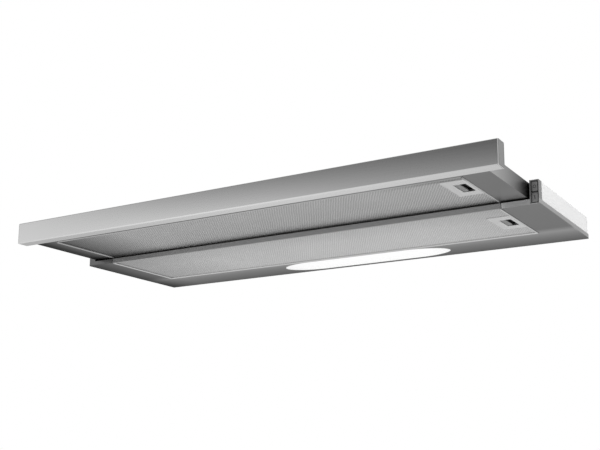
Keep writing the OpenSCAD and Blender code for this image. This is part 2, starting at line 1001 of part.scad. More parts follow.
module drawer_frame() {
    len = drawer_back - bar_back;
    color(steel)
        difference() {
            union() {
                for (m = [0, 1])
                    mirror([m, 0, 0])
                        translate([0, drawer_back, drawer_z])
                            rotate([90, 0, 0])
                                linear_extrude(len)
                                    drawer_side_profile();
                x = drawer_x;
                // front wall and front edge, rear bar
                span(-x, x, bar_back, bar_back + sheet, drawer_z, drawer_top);
                span(-x, x, bar_back, upper_front - 0.5, drawer_z, drawer_z + sheet);
                span(-x, x, upper_front + upper_filter_d + 0.5, drawer_back, drawer_z, drawer_z + sheet);
                span(-x, x, drawer_back - sheet, drawer_back, drawer_z, drawer_z + 6);
            }
            for (x = [-bracket_x, 0, bracket_x], dx = [-bracket_screw_x, bracket_screw_x])
                translate([x + dx, bar_back - 1, bracket_screw_z])
                    rotate([-90, 0, 0])
                        cylinder(h = 4, r = 2.1, $fn = 32);
        }
}

module drawer_cover() {
    color(steel)
        span(-drawer_x + sheet, drawer_x - sheet, bar_back + sheet, cover_back,
            drawer_top - sheet, drawer_top);
}

module runner() {
    x1 = wall_x - 2 * sheet - 2 - rail_gap;
    color(black)
        difference() {
            span(drawer_x, x1, drawer_back - runner_len, drawer_back, runner_z, runner_z + runner_h);
            span(drawer_x + 3, x1 - 3, drawer_back - runner_len + 5, drawer_back - 5,
                runner_z - 1, runner_z + runner_h - 2);
        }
}

module left_runner() {
    mirror([1, 0, 0])
        runner();
}

module right_runner() {
    runner();
}

// Push buttons, pressed to the back

module push_button(z0) {
    depth = 8;
    front = body_front + 0.2;
    difference() {
        span(button_x - button_w / 2, button_x + button_w / 2, front, front + depth, z0, z0 + button_h);
        children();
    }
    translate([button_x, front + depth, z0 + button_h / 2])
        rotate([-90, 0, 0])
            cylinder(h = 6.5, r = 1.8, $fn = 32);
}

module light_button() {
    // a ring marks the lamp
    color(dark_grey)
        push_button(button_z2)
            translate([button_x, body_front - 1, button_z2 + button_h / 2])
                rotate([-90, 0, 0])
                    difference() {
                        cylinder(h = 1.6, r = 3, $fn = 48);
                        translate([0, 0, -1])
                            cylinder(h = 4, r = 2.2, $fn = 48);
                    }
}

module fan_button() {
    // an upright bar marks the blower
    color(dark_grey)
        push_button(button_z1)
            span(button_x - 0.5, button_x + 0.5, body_front - 1, body_front + 0.6,
                button_z1 + 4, button_z1 + button_h - 4);
}

bottom_frame();
chassis_shell();
plenum_box();
left_end_piece();
right_end_piece();
left_rail();
right_rail();
fixing_nuts();
switch_module();
drawer_switch();
drawer_buffers();
lower_filter_frame();
lower_filter_mesh();
lower_filter_handle();
lamp_housing();
led_board();
lamp_lens();
inlet_ring();
inlet_guard();
blower_casing();
blower_lid();
fan_motor();
motor_buffers();
exhaust_spigot();
terminal_box();
terminal_box_lid();
terminal_block();
run_capacitor();
led_driver();
cable_gland();
frame_screws();
blower_screws();
front_bar();
bar_cap_left();
bar_cap_right();
bar_brackets();
bar_screws();
drawer_frame();
drawer_cover();
left_runner();
right_runner();
upper_filter_frame();
upper_filter_mesh();
upper_filter_handle();
light_button();
fan_button();
upper_latch();
lower_latch();
fan_wheel();
motor_shaft();
flap_left();
flap_right();
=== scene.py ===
import json
import math

import bmesh
import bpy
import numpy as np
from bpy.props import FloatProperty, FloatVectorProperty, IntProperty, PointerProperty
from mathutils import Matrix, Vector


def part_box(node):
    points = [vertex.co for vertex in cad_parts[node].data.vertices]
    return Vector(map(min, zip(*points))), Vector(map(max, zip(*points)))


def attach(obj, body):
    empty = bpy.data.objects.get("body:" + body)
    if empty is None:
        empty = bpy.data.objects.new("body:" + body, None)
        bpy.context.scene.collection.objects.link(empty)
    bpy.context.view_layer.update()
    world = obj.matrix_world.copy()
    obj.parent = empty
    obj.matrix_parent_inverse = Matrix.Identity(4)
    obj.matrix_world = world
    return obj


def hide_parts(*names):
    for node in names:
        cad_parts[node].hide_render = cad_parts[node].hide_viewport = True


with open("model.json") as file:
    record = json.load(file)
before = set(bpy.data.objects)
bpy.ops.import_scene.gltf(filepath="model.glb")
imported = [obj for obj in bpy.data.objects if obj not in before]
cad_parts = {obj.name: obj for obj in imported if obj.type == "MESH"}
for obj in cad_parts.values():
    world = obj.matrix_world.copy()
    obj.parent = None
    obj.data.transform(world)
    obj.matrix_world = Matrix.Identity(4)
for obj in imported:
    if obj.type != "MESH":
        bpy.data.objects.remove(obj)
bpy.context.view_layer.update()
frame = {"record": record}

bl_info = {
    "name": "Pull-out range hood",
    "version": (1, 0, 0),
    "blender": (4, 5, 0),
    "location": "View3D > Sidebar > Range hood",
    "description": "Finishes and fine pieces of a range hood with a pull-out filter drawer",
    "category": "Add Mesh",
}

MM = 0.001


# Places taken from the frame

def low(node):
    """Lowest corner of a node's box, as an array in metres."""
    return np.array(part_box(node)[0])


def high(node):
    """Highest corner of a node's box, as an array in metres."""
    return np.array(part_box(node)[1])


def middle(node):
    """Middle of a node's box, as an array in metres."""
    return (low(node) + high(node)) / 2


def box(node):
    """Lowest corner, highest corner and middle of a node's box."""
    return low(node), high(node), middle(node)


# User settings

class HoodSizes(bpy.types.PropertyGroup):
    """Sizes of the fine pieces."""
    mesh_pitch: FloatProperty(name="Mesh pitch", description="Width of one diamond of the filter mesh",
                              default=4.4 * MM, min=1 * MM, max=12 * MM, unit="LENGTH")
    brush_pitch: FloatProperty(name="Brush pitch", description="Width of one brushing line in the steel",
                               default=0.5 * MM, min=0.1 * MM, max=3 * MM, unit="LENGTH")
    bead_radius: FloatProperty(name="Bead radius", description="Radius of the bead beside each filter",
                               default=1.5 * MM, min=0.4 * MM, max=3 * MM, unit="LENGTH")
    lens_crown: FloatProperty(name="Lens crown", description="Height of the lamp lens's dome",
                              default=0.1 * MM, min=0.0, max=4 * MM, unit="LENGTH")
    plate_bevel: FloatProperty(name="Plate bevel", description="Bevel around each filter handle plate",
                               default=0.9 * MM, min=0.2 * MM, max=2 * MM, unit="LENGTH")
    blade_count: IntProperty(name="Blades", description="Number of blades on the fan wheel",
                             default=36, min=12, max=60)


class HoodColours(bpy.types.PropertyGroup):
    """Base colours of the finishes, as linear values."""
    bar: FloatVectorProperty(name="Bar", description="Brushed steel of the front bar",
                             subtype="COLOR", size=3, default=(0.56, 0.56, 0.56))
    cap: FloatVectorProperty(name="Bar caps", description="Satin grey of the bar's end caps",
                             subtype="COLOR", size=3, default=(0.2, 0.2, 0.2))
    body: FloatVectorProperty(name="Body", description="Brushed steel of the underside",
                              subtype="COLOR", size=3, default=(0.29, 0.29, 0.29))
    drawer: FloatVectorProperty(name="Drawer", description="Brushed steel of the drawer",
                                subtype="COLOR", size=3, default=(0.37, 0.37, 0.37))
    aluminium: FloatVectorProperty(name="Filter", description="Aluminium of the grease filters",
                                   subtype="COLOR", size=3, default=(0.56, 0.56, 0.56))
    handle: FloatVectorProperty(name="Handles", description="Handle plates of the filters",
                                subtype="COLOR", size=3, default=(0.42, 0.42, 0.42))
    panel: FloatVectorProperty(name="Control panel", description="End piece with the buttons",
                               subtype="COLOR", size=3, default=(0.17, 0.17, 0.17))
    white: FloatVectorProperty(name="White paint", description="Chassis and air chamber",
                               subtype="COLOR", size=3, default=(0.84, 0.84, 0.84))
    black: FloatVectorProperty(name="Black plastic", description="Blower casing and small parts",
                               subtype="COLOR", size=3, default=(0.02, 0.02, 0.021))


def sizes():
    """The size settings of this scene."""
    return bpy.context.scene.hood_sizes


def colours():
    """The colour settings of this scene."""
    return bpy.context.scene.hood_colours


# Shader expressions

class Value:
    """A shader output that Python's operators extend with Math nodes."""

    def __init__(self, finish, socket):
        self.finish = finish
        self.socket = socket

    def math(self, operation, *others):
        """One Math node of this value and up to two others."""
        return self.finish.math(operation, self, *others)

    def __add__(self, other):
        return self.math("ADD", other)

    __radd__ = __add__

    def __sub__(self, other):
        return self.math("SUBTRACT", other)

    def __rsub__(self, other):
        return self.finish.math("SUBTRACT", other, self)

    def __mul__(self, other):
        return self.math("MULTIPLY", other)

    __rmul__ = __mul__

    def __truediv__(self, other):
        return self.math("DIVIDE", other)

    def __abs__(self):
        return self.math("ABSOLUTE")

    def fraction(self):
        """The part after the decimal point."""
        return self.math("FRACT")

    def larger(self, other):
        """The larger of two values."""
        return self.math("MAXIMUM", other)

    def step(self, start, end):
        """0 below start, 1 above end and smooth between them."""
        return self.finish.node("ShaderNodeMapRange", {"interpolation_type": "SMOOTHSTEP"},
                                {"Value": self, "From Min": start, "From Max": end})


class Nodes:
    """A node tree that is written as expressions."""

    def __init__(self, tree):
        self.tree = tree

    def node(self, kind, settings=None, inputs=None, output=0):
        """A node of one kind: its settings first, then the values or links of its sockets."""
        item = self.tree.nodes.new(kind)
        for key, setting in (settings or {}).items():
            if key == "stops":
                fill_ramp(item.color_ramp, setting)
            else:
                setattr(item, key, setting)
        for key, entry in (inputs or {}).items():
            self.feed(item.inputs[key], entry)
        return Value(self, item.outputs[output])

    def feed(self, socket, entry):
        """Gives a socket a link or a plain value."""
        if isinstance(entry, Value):
            self.tree.links.new(entry.socket, socket)
        else:
            socket.default_value = entry

    def math(self, operation, *terms):
        """A Math node of up to three terms."""
        return self.node("ShaderNodeMath", {"operation": operation}, dict(enumerate(terms)))

    def outputs(self, kind, *names, inputs=None):
        """Several outputs of one new node."""
        first = self.node(kind, None, inputs)
        return [Value(self, first.socket.node.outputs[name]) for name in names]

    def place(self, names="XYZ"):
        """The object's own coordinates along the axes named, in metres."""
        coords, = self.outputs("ShaderNodeTexCoord", "Object")
        return self.outputs("ShaderNodeSeparateXYZ", *names, inputs={"Vector": coords})

    def scaled_place(self, scale):
        """The object's own coordinates, scaled on each axis."""
        coords, = self.outputs("ShaderNodeTexCoord", "Object")
        return self.node("ShaderNodeMapping", None, {"Vector": coords, "Scale": scale})

    def noise(self, scale, detail=2.0, roughness=0.5):
        """Noise from 0 to 1, with features of 1 / scale metres on each axis."""
        return self.node("ShaderNodeTexNoise", None, {
            "Vector": self.scaled_place(scale), "Scale": 1.0, "Detail": detail, "Roughness": roughness})

    def mix(self, amount, first, second):
        """A colour between two colours."""
        return self.node("ShaderNodeMix", {"data_type": "RGBA"}, {0: amount, 6: first, 7: second}, output=2)

    def scaled(self, colour, factor):
        """A colour times a factor that may vary."""
        return self.node("ShaderNodeVectorMath", {"operation": "SCALE"}, {"Vector": colour, "Scale": factor})

    def ramp(self, value, start, end, levels):
        """A curve over a value's range, through pairs of place and level from 0 up."""
        place = self.node("ShaderNodeMapRange", None, {"Value": value, "From Min": start, "From Max": end})
        top = max(level for _, level in levels)
        stops = [(at, grey(level / top)) for at, level in levels]
        return self.node("ShaderNodeValToRGB", {"stops": stops}, {"Fac": place}) * top


class Finish(Nodes):
    """One procedural material."""

    def __init__(self, name):
        self.material = bpy.data.materials.new(name)
        self.material.use_nodes = True
        super().__init__(self.material.node_tree)
        self.shader = self.tree.nodes["Principled BSDF"]

    def set(self, **entries):
        """Sets sockets of the surface shader, with spaces written as underscores."""
        for key, entry in entries.items():
            self.feed(self.shader.inputs[key.replace("_", " ")], entry)

    def bump(self, height, distance, strength=1.0):
        """A normal from a height in units of distance, in metres."""
        normal = self.node("ShaderNodeBump", None, {
            "Height": height, "Distance": distance, "Strength": strength})
        self.set(Normal=normal)


def fill_ramp(ramp, stops):
    """Sets a colour ramp from pairs of place and colour."""
    while len(ramp.elements) < len(stops):
        ramp.elements.new(0.5)
    for element, (place, colour) in zip(ramp.elements, stops):
        element.position = place
        element.color = colour


def rgba(colour, factor=1.0):
    """A colour with full alpha, made lighter or darker by a factor."""
    return tuple(min(1.0, channel * factor) for channel in colour) + (1.0,)


def grey(level):
    """A grey with full alpha."""
    return (level, level, level, 1.0)


# The finishes

# Ends of the bar, and places where the painted light and shade change, each as its start and its end in metres
BAR_ENDS = (-0.45, 0.45)
HEM_HIGHLIGHT_TOP = (0.0094, 0.0106)
BODY_FACE = (-0.0402, -0.0392)
FLANGE_FOOT = (0.0012, 0.002)
DRAWER_SIDE = (0.4262, 0.4268)
DRAWER_FLOOR = (0.011, 0.0115)
CAP_FACE = (0.4483, 0.4487)
SHADOW_END = (-0.176, -0.168)
FILTER_GAP = (-0.045, -0.035)

# Features of the orange peel and of the moulded grain in one metre
PEEL_SCALE = 2500
GRAIN_SCALE = 1250


def brushed(name, colour, roughness=0.3, contrast=0.12, edge=1.0, shade=None):
    """Steel brushed along X: long streaks in colour and gloss, and fine lines in its relief.

    Edge is its gloss at a flat angle, and a shade function returns a factor for the colour at each place,
    which paints light and shade into it.
    """
    finish = Finish(name)
    line = 1.0 / sizes().brush_pitch
    streaks = finish.noise((6.0, line, line), 3.0, 0.6)
    patches = finish.noise((3.0, 14.0, 14.0), 2.0)
    tone = streaks * 0.7 + patches * 0.3
    level = tone * (2 * contrast) + (1 - contrast)
    finish.set(Base_Color=finish.scaled(colour, level * shade(finish) if shade else level),
               Metallic=1.0,
               Specular_Tint=grey(edge),
               Roughness=roughness + (tone - 0.5) * 0.12)
    finish.bump(streaks, 0.00001)
    return finish.material


def bar_painted_light(finish):
    """Painted reflection on the bar: its colour is darker towards its right end, and there also from its lower
    edge to its upper one.

    Its rounded lower edge has a painted highlight, strongest on the right.
    """
    x, z = finish.place("XZ")
    # Painted reflection: the colour falls towards the right end and towards the top, and the rounded lower
    # edge gets a painted highlight.
    across = finish.ramp(x, *BAR_ENDS, ((0.0, 1.0), (0.3, 0.94), (0.6, 0.82), (1.0, 0.56)))
    painted_upward_fade = 1.2 - finish.ramp(z, 0.01, 0.045, ((0.0, 0.0), (1.0, 0.42)))
    share = x.step(-0.45, 0.1)
    hem_highlight = (1 - z.step(*HEM_HIGHLIGHT_TOP)) * finish.ramp(x, *BAR_ENDS, ((0.0, 0.1), (0.5, 0.2), (1.0, 0.36)))
    return across * (painted_upward_fade * share + 1 - share) * (hem_highlight + 1)


def body_painted_light(finish):
    """Painted light and shade on the underside's colour.

    It is painted darker at its left edge and behind the lamp, its front face has painted light on the right,
    and the flanges that stand up from it have painted light.
    """
    x, y, z = finish.place()
    # Painted shade towards the rear and at the left edge, and painted light on the front face and on the
    # flanges.
    along = finish.ramp(y, -0.04, 0.217, ((0.0, 0.84), (0.6, 0.84), (0.69, 1.35), (0.8, 0.95), (1.0, 0.5)))
    corner = (1 - x.step(-0.42, -0.37)) * (1 - y.step(-0.04, 0.12))
    left = (finish.ramp(x - y * 0.05, -0.458, -0.375, ((0.0, 0.15), (0.2, 0.34), (0.6, 0.95), (1.0, 1.3)))
            * (1 - corner * 0.25))
    front = finish.ramp(x, -0.44, 0.44, ((0.0, 0.4), (0.92, 1.5), (0.93, 2.1), (1.0, 2.2)))
    behind = y.step(*BODY_FACE)
    flange_painted_light = z.step(*FLANGE_FOOT) * behind
    return front * (1 - behind) + along * left * (behind - flange_painted_light) + flange_painted_light * 1.9


def drawer_painted_shade(finish):
    """Painted shade on the drawer's colour: dark at its left edge, and its right side fades towards the rear.
    """
    x, y, z = finish.place()
    across = finish.ramp(x, -0.43, 0.43, ((0.0, 0.06), (0.02, 0.18), (0.06, 0.75), (0.85, 0.85), (1.0, 0.78)))
    side = finish.ramp(y, -0.195, -0.05, ((0.0, 1.5), (0.4, 1.15), (0.75, 0.7), (1.0, 0.4)))
    outside = abs(x).step(*DRAWER_SIDE)
    under = 1 - z.step(*DRAWER_FLOOR)
    return (across * under + 0.9 * (1 - under)) * (1 - outside) + side * outside


def cap_painted_highlight(finish):
    """Painted highlight on the caps: lighter on their bevelled rims than on their faces."""
    x, = finish.place("X")
    return 2.6 - abs(x).step(*CAP_FACE) * 1.6


def bar_shadow(x, y):
    """1 in the shadow right behind the bar's right part, and 0 elsewhere."""
    return (1 - y.step(*SHADOW_END)) * x.step(0.22, 0.36)


def rim_painted_shade(finish):
    """Painted shade on the filter rims: darker at the front of the lower filter, on the left and behind the
    bar.
    """
    x, y = finish.place("XY")
    front_strip_shade = finish.ramp(y, -0.045, -0.02, ((0.0, 0.75), (0.05, 0.5), (0.75, 0.6), (1.0, 0.9)))
    return front_strip_shade * finish.ramp(x, -0.41, -0.37, ((0.0, 0.65), (1.0, 1.0))) * (1 - bar_shadow(x, y) * 0.3)


def painted(name, colour, roughness=0.42, metallic=0.0, shade=None):
    """Powder coat: a fine orange-peel relief with slight changes of tone.

    A shade function returns a factor for the colour at each place, which paints light and shade into it.
    """
    finish = Finish(name)
    peel = finish.noise((PEEL_SCALE,) * 3, 2.0)
    patches = finish.noise((5.0, 5.0, 5.0), 3.0)
    level = patches * 0.12 + 0.94
    finish.set(Base_Color=finish.scaled(colour, level * shade(finish) if shade else level),
               Metallic=metallic,
               Roughness=roughness + (patches - 0.5) * 0.12)
    finish.bump(peel, 0.00004)
    return finish.material


def moulded(name, colour, roughness=0.45):
    """Moulded plastic: a fine spark-eroded grain and a faint change of gloss."""
    finish = Finish(name)
    grain = finish.noise((GRAIN_SCALE,) * 3, 3.0, 0.6)
    wear = finish.noise((9.0, 9.0, 9.0), 2.0)
    finish.set(Base_Color=finish.mix(wear, rgba(colour, 0.9), rgba(colour, 1.1)),
               Roughness=roughness + (grain - 0.5) * 0.2)
    finish.bump(grain, 0.00005)
    return finish.material


def filter_painted_shade(finish):
    """The filters' tone with painted shade, and the depth of their mesh: the one in the drawer is darker and
    deeper.

    The drawer's filter has painted shade, darkest at its left end and behind the bar; the fixed one is painted
    darker at its ends and towards its front.
    """
    x, y = finish.place("XY")
    drawer = finish.ramp(x, -0.39, -0.1, ((0.0, 0.06), (0.25, 0.48), (0.5, 0.88), (1.0, 0.9)))
    fixed = (finish.ramp(x, -0.39, 0.39, ((0.0, 0.75), (0.25, 1.13), (0.5, 1.16), (0.8, 1.16), (1.0, 0.98)))
             * finish.ramp(y, -0.03, 0.03, ((0.0, 0.84), (1.0, 1.0))))
    share = y.step(*FILTER_GAP)
    drawer = drawer * (1 - bar_shadow(x, y) * 0.4)
    return drawer * (1 - share) + fixed * share, 0.72 - share * 0.27


def strands(across, along):
    """1 on the strands of a diamond lattice and 0 in its openings, with one diamond for each whole step."""
    first = abs((across + along).fraction() - 0.5)
    second = abs((across - along).fraction() - 0.5)
    return first.larger(second).step(0.22, 0.4)


def expanded_mesh(name, colour):
    """Layers of expanded aluminium drawn in the colour: a diamond lattice, a second one behind its openings in
    painted shade, and a gap darkened by painted shade.

    With p = x / a + y / b and q = x / a - y / b, a strand lies where p or q is near a whole
    number. Slow noise bends the strands a little, as stretching does.
    """
    finish = Finish(name)
    x, y = finish.place("XY")
    pitch = sizes().mesh_pitch
    bend = finish.noise((70.0, 45.0, 70.0), 2.0) - 0.5
    across = (x + bend * (0.5 * pitch)) / pitch
    along = (y + bend * (0.35 * pitch)) / (pitch * 1.7)
    front = strands(across, along)
    behind = strands(across + 0.31, along * 1.06 + 0.22)
    strand = front.larger(behind * 0.5)
    patches = 1.06 - finish.noise((14.0, 9.0, 9.0), 3.0) * 0.12 - finish.noise((900.0,) * 3, 2.0) * 0.2
    tone, depth = filter_painted_shade(finish)
    # Painted shade: the openings and the layer behind are darker, most of all in the drawer's filter.
    level = (1.13 - (1 - strand) * depth) * patches * tone
    finish.set(Base_Color=finish.scaled(colour, level),
               Specular_Tint=grey(0.75),
               Metallic=0.75,
               Roughness=0.48 - strand * 0.1)
    finish.bump(strand, 0.0006, 0.8)
    return finish.material


def glowing(name, strength):
    """Opal plastic lit from behind, a little weaker towards the ends of the lamp."""
    finish = Finish(name)
    x, = finish.place("X")
    lowest, highest, centre = box("lamp_lens")
    half = (highest[0] - lowest[0]) / 2
    fade = 1 - abs((x - float(centre[0])) / float(half)).step(0.7, 1.05) * 0.25
    frost = finish.noise((900.0,) * 3, 2.0)
    finish.set(Base_Color=finish.mix(frost, grey(0.52), grey(0.6)),
               Emission_Color=finish.mix(fade, grey(0.4), grey(1)),
               Emission_Strength=strength,
               Roughness=0.35)
    return finish.material


def circuit(name):
    """Solder mask with faint copper tracks along X."""
    finish = Finish(name)
    tracks = finish.noise((40.0, 900.0, 40.0), 1.0).step(0.52, 0.56)
    finish.set(Base_Color=finish.mix(tracks, (0.02, 0.13, 0.06, 1), (0.05, 0.2, 0.1, 1)), Roughness=0.35)
    return finish.material


FINISHES = {}


def make_finishes():
    """One material for each finish of the record."""
    tones = colours()
    FINISHES.update({
        # The shade functions paint light and shade into the colours of the steel, the caps and the filter
        # rims.
        "bar_steel": brushed("bar_steel", tones.bar, 0.15, 0.05, 1.0, bar_painted_light),
        "bar_cap_grey": painted("bar_cap_grey", tones.cap, 0.36, metallic=0.6, shade=cap_painted_highlight),
        "body_steel": brushed("body_steel", tones.body, 0.36, 0.12, 0.45, body_painted_light),
        "drawer_steel": brushed("drawer_steel", tones.drawer, 0.36, 0.12, 0.45, drawer_painted_shade),
        "plain_steel": brushed("plain_steel", (0.55,) * 3, 0.35),
        "motor_steel": brushed("motor_steel", (0.45,) * 3, 0.35),
        "filter_rim": painted("filter_rim", tones.aluminium, 0.4, metallic=0.8, shade=rim_painted_shade),
        "filter_mesh": expanded_mesh("filter_mesh", tones.aluminium),
        "handle_grey": moulded("handle_grey", tones.handle, 0.4),
        "panel_grey": moulded("panel_grey", tones.panel, 0.4),
        "button_grey": moulded("button_grey", tones.panel, 0.35),
        "white_paint": painted("white_paint", tones.white),
        "rail_plastic": moulded("rail_plastic", (0.6, 0.6, 0.6)),
        "black_plastic": moulded("black_plastic", tones.black),
        "wheel_grey": moulded("wheel_grey", (0.08, 0.08, 0.08)),
        "rubber": moulded("rubber", (0.015, 0.015, 0.015), 0.7),
        "circuit_board": circuit("circuit_board"),
        "lamp_glow": glowing("lamp_glow", 0.36),
    })


def dress_nodes():
    """Gives each CAD node the finish that the record names for it."""
    slots = {part["node"]: part["material_slot"] for part in frame["record"]["subparts"]}
    for node, slot in slots.items():
        for place in bpy.data.objects[node].material_slots:
            place.material = FINISHES[slot]


# Mesh helpers

def grid_faces(rows, columns, wrap_rows=False, wrap_columns=False):
    """Quads of a grid of rows by columns points; a wrapped side joins its last line to its first."""
    row = np.arange(rows if wrap_rows else rows - 1)[:, None]
    column = np.arange(columns if wrap_columns else columns - 1)[None, :]
    next_row = (row + 1) % rows
    next_column = (column + 1) % columns
    corners = (row * columns + column, next_row * columns + column,
               next_row * columns + next_column, row * columns + next_column)
    return np.stack([corner.ravel() for corner in corners], axis=1)


def joined(parts):
    """Several (points, faces) parts as one."""
    points = []
    faces = []
    offset = 0
    for part_points, part_faces in parts:
        flat = np.asarray(part_points, dtype=float).reshape(-1, 3)
        points.append(flat)
        faces.extend((np.asarray(face) + offset).tolist() for face in part_faces)
        offset += len(flat)
    return np.concatenate(points), faces


def add_piece(name, parts, body, slot, replaces=(), smooth=32.0):
    """Makes one mesh of (points, faces) parts, faces it outwards and lets it ride on a body."""
    points, faces = joined(parts)
    mesh = bpy.data.meshes.new(name)
    mesh.from_pydata(points, [], faces)
    shape = bmesh.new()
    shape.from_mesh(mesh)
    bmesh.ops.remove_doubles(shape, verts=shape.verts, dist=0.00001)
    bmesh.ops.recalc_face_normals(shape, faces=shape.faces)
    shape.to_mesh(mesh)
    shape.free()
    mesh.shade_smooth()
    mesh.set_sharp_from_angle(angle=math.radians(smooth))
    piece = bpy.data.objects.new(name, mesh)
    bpy.context.scene.collection.objects.link(piece)
    mesh.materials.append(FINISHES[slot])
    flats = piece.modifiers.new("flat_faces", "WEIGHTED_NORMAL")
    flats.keep_sharp = True
    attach(piece, body)
    if replaces:
        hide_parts(*replaces)


def full_turn(steps):
    """Angles of a whole turn, without its end."""
    return np.linspace(0, 2 * math.pi, steps, endpoint=False)


def quarter_round(radius, steps=5):
    """Two rows of distances along a quarter circle: r (1 - cos t), which grows, and r (1 - sin t)."""
    turn = np.linspace(0, math.pi / 2, steps)
    return radius * (1 - np.cos(turn)), radius * (1 - np.sin(turn))


def round_rect(width, height, radius, arc_steps=8, side_steps=2):
    """A rectangle with round corners about the origin: a quarter circle at each corner, sides between."""
    turn = np.linspace(0, math.pi / 2, arc_steps)
    centres = np.array([[1, 1], [-1, 1], [-1, -1], [1, -1]]) * [width / 2 - radius, height / 2 - radius]
    arcs = [centres[quarter] + radius * np.stack([np.cos(turn + quarter * math.pi / 2),
                                                  np.sin(turn + quarter * math.pi / 2)], axis=1)
            for quarter in range(4)]
    share = np.linspace(0, 1, side_steps + 2)[1:-1, None]
    sides = [arc[-1] + (following[0] - arc[-1]) * share for arc, following in zip(arcs, arcs[1:] + arcs[:1])]
    return np.concatenate([part for pair in zip(arcs, sides) for part in pair])


def loft(loops, heights, axes="xyz", origin=(0, 0, 0), ring=False):
    """A surface through plane loops at their heights.

    A loop's two values and its height go to the axes named, in that order, and origin is added.
    A ring closes from its last loop to its first; otherwise both ends are filled.
    """
    rows = np.stack([np.column_stack([loop, np.full(len(loop), height)])
                     for loop, height in zip(loops, heights)])
    order = [axes.index(name) for name in "xyz"]
    points = rows[..., order] + np.asarray(origin, float)
    count, columns = rows.shape[:2]
    faces = list(grid_faces(count, columns, ring, True))
    if not ring:
        faces += [np.arange(columns), np.arange(columns) + (count - 1) * columns]
    return points, faces


def soft_box(lowest, highest, bevel, radius=None):
    """A box with rounded upright edges, and quarter-round edges at its bottom and top."""
    lowest = np.asarray(lowest, float)
    highest = np.asarray(highest, float)
    size = highest - lowest
    radius = 1.5 * bevel if radius is None else radius
    growing, falling = quarter_round(bevel, 4)
    insets = np.concatenate([falling, growing])
    heights = np.concatenate([lowest[2] + growing, highest[2] - falling])
    loops = [round_rect(size[0] - 2 * inset, size[1] - 2 * inset, max(radius - inset, 0.2 * bevel), 5, 1)
             for inset in insets]
    centre = (lowest + highest) / 2
    return loft(loops, heights, origin=(centre[0], centre[1], 0))


def revolve(profile, centre, steps=96, axes="xyz"):
    """A closed profile of (radius, height) points turned about an axis through centre."""
    profile = np.asarray(profile, float)
    angle = full_turn(steps)[:, None]
    rows = np.stack([profile[:, 0] * np.cos(angle), profile[:, 0] * np.sin(angle),
                     np.broadcast_to(profile[:, 1], (steps, len(profile)))], axis=2)
    order = [axes.index(name) for name in "xyz"]
    return rows[..., order] + np.asarray(centre, float), grid_faces(steps, len(profile), True, True)


def sweep(profile, path):
    """A closed profile carried along a path of points in a plane of constant Z, square to the path.

    A profile point is (distance to the path's left, height); corners are mitred.
    """
    path = np.asarray(path, float)
    profile = np.asarray(profile, float)
    steps = np.diff(path, axis=0)
    before = np.concatenate([steps[:1], steps])
    after = np.concatenate([steps, steps[-1:]])
    before = before / np.linalg.norm(before, axis=1, keepdims=True)
    after = after / np.linalg.norm(after, axis=1, keepdims=True)
    normal_before = np.stack([-before[:, 1], before[:, 0]], axis=1)
    normal_after = np.stack([-after[:, 1], after[:, 0]], axis=1)
    mitre = normal_before + normal_after
    mitre = mitre / (1 + np.sum(normal_before * normal_after, axis=1, keepdims=True))
    plan = path[:, None, :2] + mitre[:, None, :] * profile[None, :, :1]
    height = path[:, None, 2:] + profile[None, :, 1:]
    points = np.concatenate([plan, height], axis=2)
    count, columns = points.shape[:2]
    ends = [np.arange(columns), np.arange(columns) + (count - 1) * columns]
    return points, [*grid_faces(count, columns, False, True), *ends]


def half_round(radius):
    """A half circle that hangs below its flat side."""
    turn = np.linspace(0, math.pi, 7)
    return np.stack([radius * np.cos(turn), -radius * np.sin(turn)], axis=1)


# The front bar

SHEET = 1 * MM


def bar_shell():
    """The folded bar: a closed sheet profile in Y and Z, carried along X.

    The outer line has round folds at its four corners, the inner line follows it one sheet
    inside, and both meet at the long slot in the rear.
    """
    lowest, highest, centre = box("front_bar")
    depth, height = (highest - lowest)[1:]
    fold = 1.6 * MM
    slot_low, slot_high = 5 * MM - height / 2, 20 * MM - height / 2
    turn = np.linspace(0, math.pi / 2, 9)
    lines = []
    for inset in (0, SHEET):
        radius = fold - inset
        line = [[depth / 2 - inset, slot_high]]
        for quarter, (side, level) in enumerate(((1, 1), (-1, 1), (-1, -1), (1, -1))):
            angle = turn + quarter * math.pi / 2
            corner = [side * (depth / 2 - fold), level * (height / 2 - fold)]
            line += (np.stack([np.cos(angle), np.sin(angle)], axis=1) * radius + corner).tolist()
        line.append([depth / 2 - inset, slot_low])
        lines.append(np.array(line))
    section = np.concatenate([lines[0], lines[1][::-1]])
    shell = loft([section, section], [lowest[0], highest[0]], "yzx", (0, centre[1], centre[2]))
    add_piece("bar_shell", [shell], "drawer", "bar_steel", ("front_bar",))


def bar_cap(node, side):
    """An end cap: rounded rectangles from the plug in the bar to the bevelled outer face.

    The face has a raised rim, and its middle lies a little deeper.
    """
    lowest, highest, centre = box(node)
    width, height = (highest - lowest)[1:]
    outer_x = max(abs(lowest[0]), abs(highest[0]))
    seam_x = outer_x - 2 * MM
    bevel = 1.3 * MM
    growing, falling = quarter_round(bevel)
    insets = [1.2 * MM, 1.2 * MM, 0.3 * MM, 0, 0]
    places = [outer_x - 9 * MM, seam_x, seam_x, seam_x + 0.2 * MM, outer_x - bevel]
    insets += list(growing)
    places += list(outer_x - falling)
    insets += [2.2 * MM, 2.5 * MM, 2.9 * MM]
    places += [outer_x, outer_x - 0.15 * MM, outer_x - 0.2 * MM]
    loops = [round_rect(width - 2 * inset, height - 2 * inset, max(2.2 * MM - inset, 0.3 * MM), 7)
             for inset in insets]
    cap = loft(loops, [side * place for place in places], "yzx", (0, centre[1], centre[2]))
    add_piece(node + "_cover", [cap], "drawer", "bar_cap_grey", (node,))


# Filter handles and latches

WINDOW_LEFT = -5.2 * MM
WINDOW_RIGHT = 13.2 * MM
WINDOW_LENGTH = 40 * MM
PLATE_DEPTH = 2 * MM
PLATE_SHEET = 0.6 * MM


